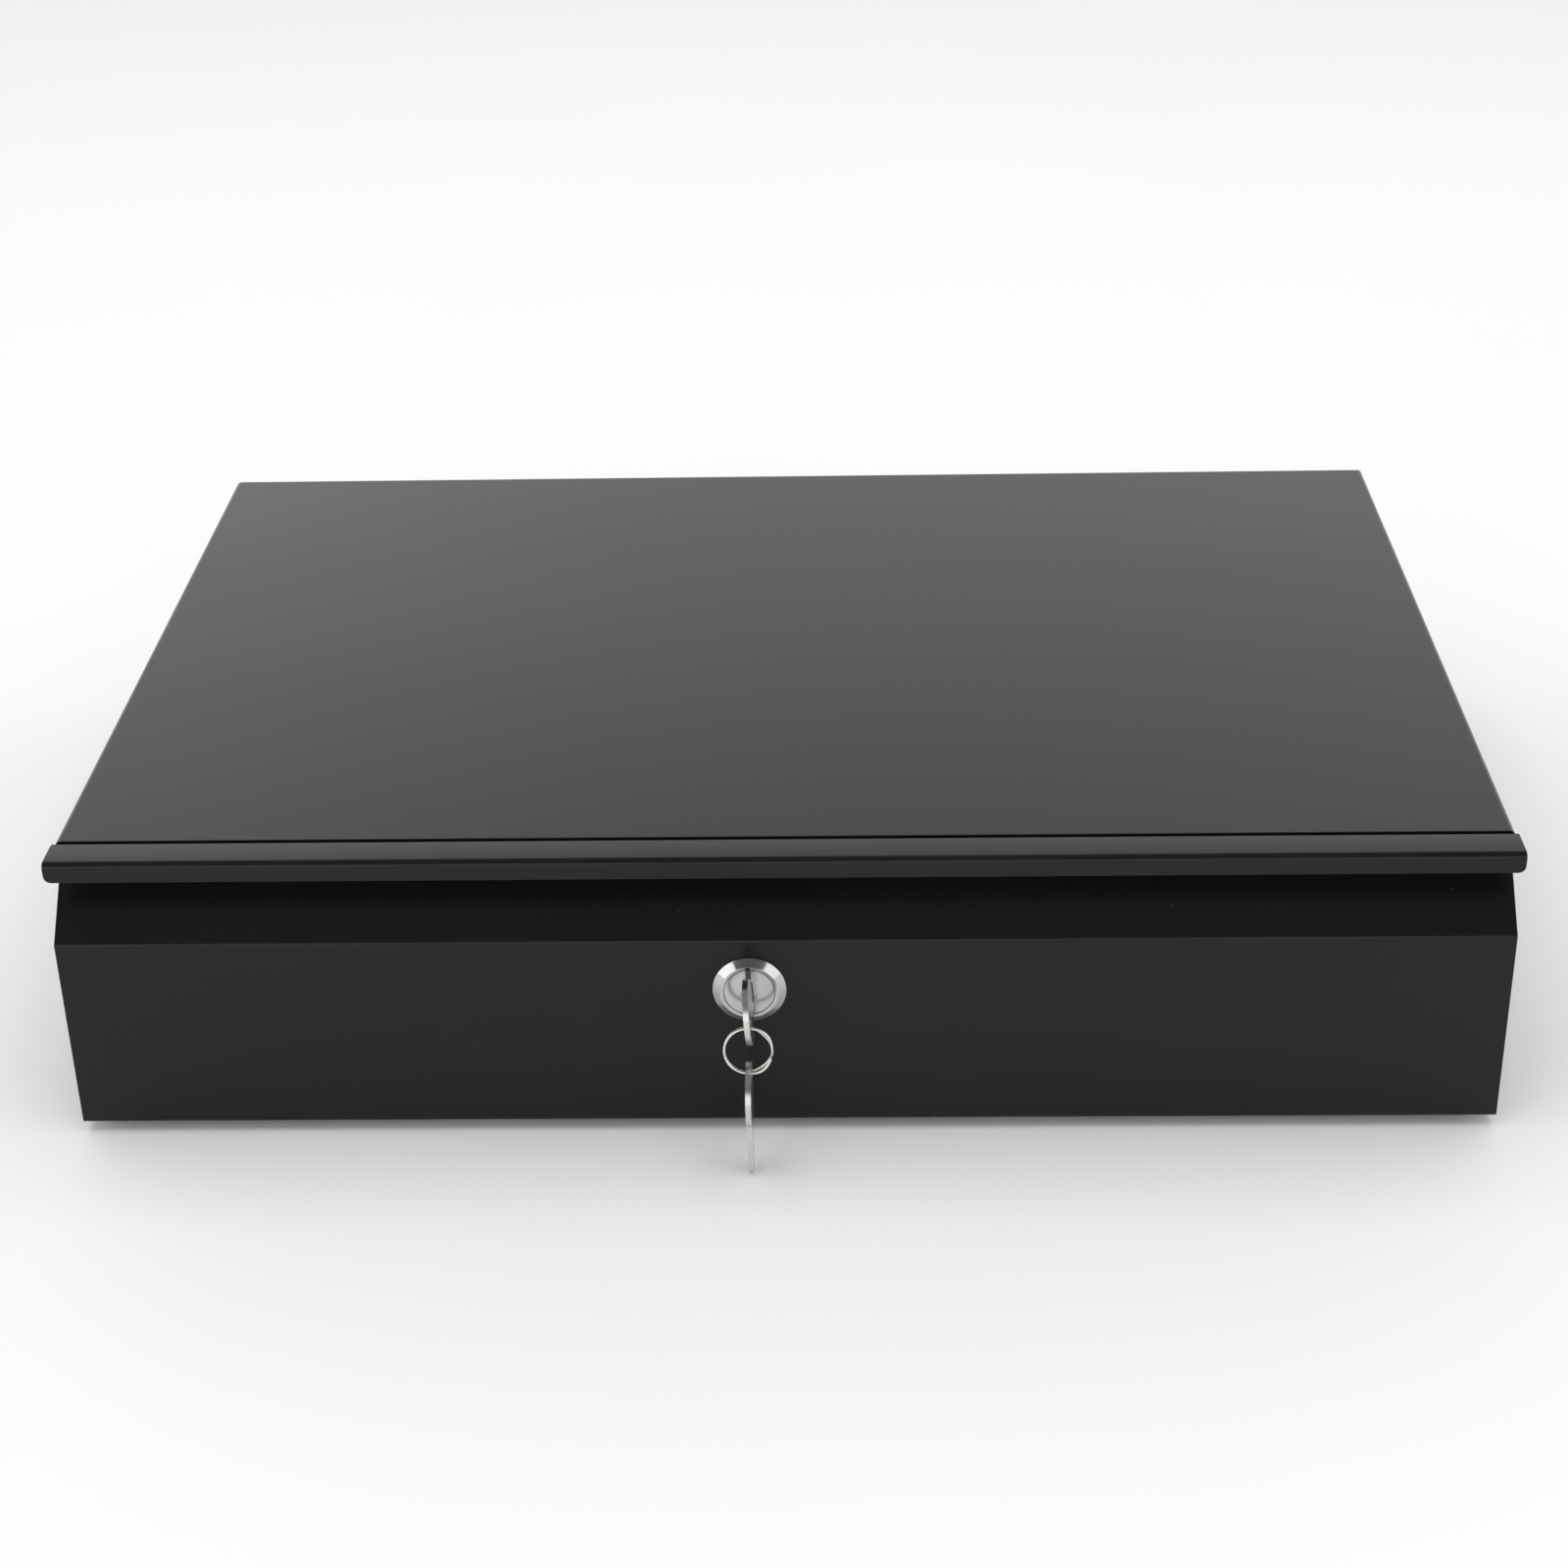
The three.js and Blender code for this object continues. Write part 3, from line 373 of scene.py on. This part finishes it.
refined("cam_screw", SCREW_EDGE)
refined("lock_plug", PLUG_EDGE)


# ---------------------------------------------------------------- pull lip

CROWN_WIDTH = 1.5
CROWN_CREASE = 0.15
CROWN_REACH = 0.8
CROWN_SLOPE = 0.18
LIP_EDGE = 0.3


def front_lip():
    """The pull lip, with the back of its top face falling away a little before it is rounded."""
    work = merged_copy("front_lip")
    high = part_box("front_lip")[1]
    start = high.y - CROWN_WIDTH * MM
    for place in (start - CROWN_CREASE * MM, start):
        cut(work, BACKWARD * place, BACKWARD)
    for vert in work.verts:
        if vert.co.y > start and vert.co.z > high.z - CROWN_REACH * MM:
            vert.co.z -= (vert.co.y - start) * CROWN_SLOPE
    soften(work, LIP_EDGE, ROUND_STEPS)
    finished("front_lip_piece", work, BODY_OF["front_lip"], SLOT_OF["front_lip"], replaces=("front_lip",))


# ---------------------------------------------------------------- lock body

LATHE_STEPS = 96
BARREL_RADIUS = 9.4
PLUG_BORE = 6.18
BEZEL_BORE = 8.2
BORE_CHAMFER = 0.12
RIM_RADIUS = 9.25
RIM_ROUND = 0.1
RIM_ROUND_DEPTH = 0.06
SLOPE_DEPTH = 1.66
EDGE_ROUND = 0.1
SEAT_ROUND = 0.08
SEAT_DEPTH = 2.2
POCKET_DEPTH = 3.4
END_CHAMFER = 0.4
LOCK_SHARP = 25
THREAD_START = 4.2
THREAD_PITCH = 1.0
THREAD_RUNOUT = 0.5
THREAD_DEPTH = 0.45
THREAD_FLANK = 0.35
THREAD_CREST = 0.2


def lock_body():
    """The chrome bezel and its threaded barrel, turned as one piece."""
    low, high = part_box("lock_body")
    back = (high.y - low.y) / MM
    outer = (high.x - low.x) / 2 / MM
    root = BARREL_RADIUS - THREAD_DEPTH
    thread = []
    for turn in range(int((back - THREAD_RUNOUT - THREAD_START) / THREAD_PITCH)):
        start = THREAD_START + THREAD_PITCH * turn
        crest_end = start + THREAD_FLANK + THREAD_CREST
        thread += [(root, start), (BARREL_RADIUS, start + THREAD_FLANK)]
        thread += [(BARREL_RADIUS, crest_end), (root, crest_end + THREAD_FLANK)]
    profile = [
        (BEZEL_BORE, BORE_CHAMFER), (BEZEL_BORE + BORE_CHAMFER, 0),
        (RIM_RADIUS, 0), (RIM_RADIUS + RIM_ROUND, RIM_ROUND_DEPTH),
        (outer - EDGE_ROUND, SLOPE_DEPTH), (outer, SLOPE_DEPTH + EDGE_ROUND),
        (outer, SEAT_DEPTH - SEAT_ROUND), (outer - SEAT_ROUND, SEAT_DEPTH),
        (root, SEAT_DEPTH),
        *thread,
        (root, back - END_CHAMFER), (root - END_CHAMFER, back),
        (PLUG_BORE, back), (PLUG_BORE, POCKET_DEPTH), (BEZEL_BORE, POCKET_DEPTH),
    ]
    work = lathe(profile, LATHE_STEPS)
    moved(work, ((low.x + high.x) / 2, low.y, (low.z + high.z) / 2))
    finished("lock_body_piece", work, "drawer", "lock_chrome", LOCK_SHARP, replaces=("lock_body",))


# ---------------------------------------------------------------- keys

KEYWAY_LEAN = math.radians(-4)
PANEL_START = 7.8
PANEL_END = 17.0
PANEL_RIM = 1.2
GROOVE_START = 23.5
GROOVE_END = 37.6
GROOVE_HALF = 0.9
GROOVE_RIM = 0.12
RELIEF = 0.28
KEY_EDGE = 0.14
KEY_SHARP = 50
KEY_SMOOTH = 30
SQUARE_ON = 0.99


def key_piece(node, along, across, start):
    """A CAD key blank with rounded edges, a sunk panel in its bow and a groove down its blade.

    start is the end of its bow. along points from there to the tip, and across over the blade.
    """
    work = merged_copy(node)
    low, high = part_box(node)
    middle = (low + high) / 2
    for depth in (PANEL_START, PANEL_END, GROOVE_START, GROOVE_END):
        cut(work, start + along * depth * MM, along)
    for offset in (-GROOVE_HALF, GROOVE_HALF):
        cut(work, middle + across * offset * MM, across)
    normal = along.cross(across)
    flats = [face for face in work.faces if abs(face.normal.dot(normal)) > SQUARE_ON]
    panel = (PANEL_START, PANEL_END, math.inf, PANEL_RIM)
    groove = (GROOVE_START, GROOVE_END, GROOVE_HALF, GROOVE_RIM)
    for first, last, half_width, rim in (panel, groove):
        for side in (-1, 1):
            region = []
            for face in flats:
                if not face.is_valid or face.normal.dot(normal) * side < 0:
                    continue
                centre = face.calc_center_median()
                depth = (centre - start).dot(along) / MM
                offset = (centre - middle).dot(across) / MM
                if first < depth < last and abs(offset) < half_width:
                    region.append(face)
            bmesh.ops.inset_region(
                work, faces=region, use_even_offset=True, thickness=rim * MM, depth=-RELIEF * MM,
            )
    soften(work, KEY_EDGE, sharp=KEY_SHARP)
    finished(f"{node}_piece", work, BODY_OF[node], SLOT_OF[node], KEY_SMOOTH, replaces=(node,))


def keys():
    low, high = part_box("key")
    upright = Vector((math.sin(KEYWAY_LEAN), 0, math.cos(KEYWAY_LEAN)))
    key_piece("key", BACKWARD, upright, Vector(((low.x + high.x) / 2, low.y, (low.z + high.z) / 2)))
    low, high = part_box("spare_key")
    start = Vector(((low.x + high.x) / 2, (low.y + high.y) / 2, high.z))
    key_piece("spare_key", -UPWARD, BACKWARD, start)


# ---------------------------------------------------------------- split ring

RING_RADIUS = 7.5
RING_WALL = 0.8
RING_WIRE_DEPTH = 0.72
RING_LAYER = 0.86
RING_CHAMFER = 0.2
RING_FLAT = 340
RING_TURN = 110
RING_SHARP = 50
FLAT_STEPS = 44
CROSSING_STEPS = 6
RING_SPREAD = 0.48
RING_SPREAD_PLACES = (38, 295)
RING_SPREAD_ANGLE = math.radians(27)


def split_ring():
    """Two turns of flat wire that cross over each other once, with both wire ends showing."""
    low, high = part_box("key_ring")
    lean = math.asin(((high.y - low.y) - RING_WIRE_DEPTH * 2 * MM) / (high.z - low.z))
    work = bmesh.new()
    wall, depth, chamfer = RING_WALL / 2, RING_WIRE_DEPTH / 2, RING_CHAMFER
    corners = [
        (chamfer - wall, -depth), (wall - chamfer, -depth),
        (wall, chamfer - depth), (wall, depth - chamfer),
        (wall - chamfer, depth), (chamfer - wall, depth),
        (-wall, depth - chamfer), (-wall, chamfer - depth),
    ]
    start = Vector((0, -RING_LAYER / 2, RING_RADIUS))
    verts = [work.verts.new((start + Vector((0, across, out))) * MM) for out, across in corners]
    face = work.faces.new(verts)
    section = face.verts[:] + face.edges[:] + [face]
    flat_turn = (RING_FLAT, FLAT_STEPS, 0)
    crossing = (360 - RING_FLAT, CROSSING_STEPS, RING_LAYER)
    for angle, steps, climb in (flat_turn, crossing, flat_turn):
        spun = bmesh.ops.spin(
            work, geom=section, cent=CENTRE, axis=BACKWARD, dvec=BACKWARD * (climb * MM / steps),
            angle=math.radians(angle), steps=steps, use_merge=False, use_duplicate=False,
        )
        section = spun["geom_last"]
    bmesh.ops.remove_doubles(work, verts=work.verts, dist=SEAM_WELD)
    for place in RING_SPREAD_PLACES:
        spread_turns(work, math.radians(place))
    turned(work, Matrix.Rotation(-lean, 3, "X") @ Matrix.Rotation(math.radians(RING_TURN), 3, "Y"))
    moved(work, (low + high) / 2)
    finished("key_ring_piece", work, "key_ring", "key_nickel", RING_SHARP, replaces=("key_ring",))


def spread_turns(work, place):
    """Opens the two turns apart a little round one place, as a used ring is."""
    for vert in work.verts:
        angle = math.atan2(vert.co.x, vert.co.z)
        away = math.remainder(angle - place, FULL_TURN) / RING_SPREAD_ANGLE
        side = 1 if vert.co.y < 0 else -1
        growth = 1 + side * RING_SPREAD / RING_RADIUS * math.exp(-away * away)
        vert.co.x *= growth
        vert.co.z *= growth


# ---------------------------------------------------------------- ball cages

BALL_RADIUS = 1.15
BALL_PITCH = 8.0
BALL_INSET = 0.35
BALL_SHIFT = 0.6
BALL_SIDES = 14
BALL_RINGS = 8
ROUND_SHARP = 60


def ball_cage(node, outward):
    """A stamped brass cage with a row of steel balls in each flange."""
    refined(node, CAGE_EDGE)
    low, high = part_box(node)
    work = bmesh.new()
    middle_x = (low.x + high.x) / 2 - outward * BALL_SHIFT * MM
    count = int((high.y - low.y) / MM / BALL_PITCH)
    first = (low.y + high.y) / 2 - (count - 1) / 2 * BALL_PITCH * MM
    for level in (low.z + BALL_INSET * MM, high.z - BALL_INSET * MM):
        for index in range(count):
            place = Matrix.Translation((middle_x, first + index * BALL_PITCH * MM, level))
            bmesh.ops.create_uvsphere(
                work, u_segments=BALL_SIDES, v_segments=BALL_RINGS, radius=BALL_RADIUS * MM, matrix=place,
            )
    finished(f"{node}_balls", work, BODY_OF[node], "zinc_steel", ROUND_SHARP, material=BALL_STEEL)


# ---------------------------------------------------------------- note clip springs

SPRING_GAP = 0.7
SPRING_WIRE = 0.7
SPRING_RADIUS = 2.75
SPRING_PITCH = 0.8
SPRING_TURNS = 6
SPRING_STEPS = 20
WIRE_SIDES = 8


def clip_springs():
    """A coil spring on the rod beside each note clip."""
    low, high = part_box("clip_rod")
    for index in range(1, 6):
        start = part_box(f"note_clip_{index}")[1].x + SPRING_GAP * MM
        work = bmesh.new()
        bmesh.ops.create_circle(work, cap_ends=True, segments=WIRE_SIDES, radius=SPRING_WIRE / 2 * MM)
        moved(work, RIGHT * (SPRING_RADIUS * MM))
        turned(work, Matrix.Rotation(QUARTER_TURN, 3, "X"))
        bmesh.ops.spin(
            work, geom=work.verts[:] + work.edges[:] + work.faces[:], cent=CENTRE, axis=UPWARD,
            dvec=UPWARD * (SPRING_PITCH * MM / SPRING_STEPS), angle=FULL_TURN * SPRING_TURNS,
            steps=SPRING_TURNS * SPRING_STEPS, use_merge=False, use_duplicate=False,
        )
        turned(work, Matrix.Rotation(QUARTER_TURN, 3, "Y"))
        moved(work, (start, (low.y + high.y) / 2, (low.z + high.z) / 2))
        finished(f"clip_spring_{index}", work, "drawer", "zinc_steel", ROUND_SHARP, material=BALL_STEEL)


front_lip()
lock_body()
keys()
split_ring()
for side, outward in (("L", -1), ("R", 1)):
    ball_cage(f"outer_ball_cage_{side}", outward)
    ball_cage(f"inner_ball_cage_{side}", outward)
clip_springs()


# ---------------------------------------------------------------- studio

FLOOR_HALF = 6
WALL_TOP = math.sin(math.radians(20.5))
CEILING = math.sin(math.radians(53))
WALL_LIGHT = 1.38
CEILING_LIGHT = 0.22
LEFT_GLOW = 0.24
RIGHT_GLOW = 0.07
GLOW_START = 0.03
GLOW_END = 0.32
FLAG_HALF = 0.5
FLAG_STRETCH = (1.95, 0.8, 1)
FLAG_TILT = math.radians(60)
FLAG_PLACE = (0, -1.25, 1.2)
LAMP_SIZE = 3.0
LAMP_POWER = 44
LAMP_PLACE = (0, -0.2, 2.6)


def stage_sheet(name, work, material):
    """A studio sheet that isn't part of the object."""
    mesh = bpy.data.meshes.new(name)
    work.to_mesh(mesh)
    work.free()
    sheet = bpy.data.objects.new(name, mesh)
    bpy.context.scene.collection.objects.link(sheet)
    mesh.materials.append(material)
    return sheet


def studio_floor():
    work = bmesh.new()
    bmesh.ops.create_grid(work, x_segments=1, y_segments=1, size=FLOOR_HALF)
    paper = Finish("pale_paper", Roughness=0.9, Specular_IOR_Level=0.1)
    paper.feed(Base_Color=paper.mix(paper.noise(scale=3, detail=3), grey(0.88), grey(0.91)))
    stage_sheet("studio_floor", work, paper.material)


def studio_sky():
    """Bright walls all round, a little brighter on the left, under a dark ceiling."""
    world = bpy.data.worlds.new("studio")
    bpy.context.scene.world = world
    world.use_nodes = True
    sky = Graph(world.node_tree)
    ahead = sky.node("ShaderNodeTexCoord", output="Generated")
    across = sky.node("ShaderNodeSeparateXYZ", inputs={0: ahead}, output="X")
    height = sky.node("ShaderNodeSeparateXYZ", inputs={0: ahead}, output="Z")
    ceiling = height.between(WALL_TOP, CEILING)
    left = (across * -1).between(GLOW_START, GLOW_END) * LEFT_GLOW
    right = across.between(GLOW_START, GLOW_END) * RIGHT_GLOW
    level = (WALL_LIGHT - ceiling * (WALL_LIGHT - CEILING_LIGHT)) * (left + right + 1)
    shade = sky.node("ShaderNodeCombineColor", inputs={0: level, 1: level, 2: level})
    background = world.node_tree.nodes["Background"]
    background.inputs["Strength"].default_value = 1
    world.node_tree.links.new(shade.socket, background.inputs["Color"])


def dark_flag():
    """A dark flag over the camera, which only the bright metal shows."""
    work = bmesh.new()
    bmesh.ops.create_grid(work, x_segments=1, y_segments=1, size=FLAG_HALF)
    bmesh.ops.scale(work, vec=FLAG_STRETCH, verts=work.verts)
    turned(work, Matrix.Rotation(FLAG_TILT, 3, "X"))
    moved(work, FLAG_PLACE)
    cloth = Finish("black_cloth", Roughness=0.95, Specular_IOR_Level=0.0)
    cloth.feed(Base_Color=cloth.mix(cloth.noise(scale=60, detail=3), grey(0.10), grey(0.13)))
    flag = stage_sheet("dark_flag", work, cloth.material)
    flag.visible_camera = False
    flag.visible_shadow = False
    flag.visible_diffuse = False


def overhead_light():
    """A broad soft light from above that lights the floor and isn't mirrored in the paint."""
    light = bpy.data.lights.new("overhead_soft", "AREA")
    light.shape = "SQUARE"
    light.size = LAMP_SIZE
    light.energy = LAMP_POWER
    lamp = bpy.data.objects.new("overhead_soft", light)
    lamp.location = LAMP_PLACE
    lamp.visible_glossy = False
    bpy.context.scene.collection.objects.link(lamp)


# ---------------------------------------------------------------- camera

CAMERA_RIGHT = 0.026126
CAMERA_BACK = 0.750248
CAMERA_RISE = 0.431613
PITCH = math.radians(28.276)
YAW = math.radians(-1.824)
ROLL = math.radians(-1.320)
LENS = 64.256
SENSOR = 36
NEAREST = 0.01


def camera():
    """A long lens in front and above, turned a little to the left and rolled a little."""
    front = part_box("drawer_front")[0].y
    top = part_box("top_cover")[1].z
    level_ahead = Vector((math.sin(YAW), math.cos(YAW), 0))
    ahead = level_ahead * math.cos(PITCH) - UPWARD * math.sin(PITCH)
    level = Vector((math.cos(YAW), -math.sin(YAW), 0))
    upright = level.cross(ahead)
    right = level * math.cos(ROLL) + upright * math.sin(ROLL)
    up = upright * math.cos(ROLL) - level * math.sin(ROLL)
    lens = bpy.data.cameras.new("camera")
    lens.sensor_width = SENSOR
    lens.lens = LENS
    lens.clip_start = NEAREST
    view = bpy.data.objects.new("camera", lens)
    place = Matrix.Translation((CAMERA_RIGHT, front - CAMERA_BACK, top + CAMERA_RISE))
    view.matrix_world = place @ Matrix((right, up, -ahead)).transposed().to_4x4()
    bpy.context.scene.collection.objects.link(view)
    bpy.context.scene.camera = view


studio_floor()
studio_sky()
dark_flag()
overhead_light()
camera()
bpy.context.scene.view_settings.view_transform = "Standard"
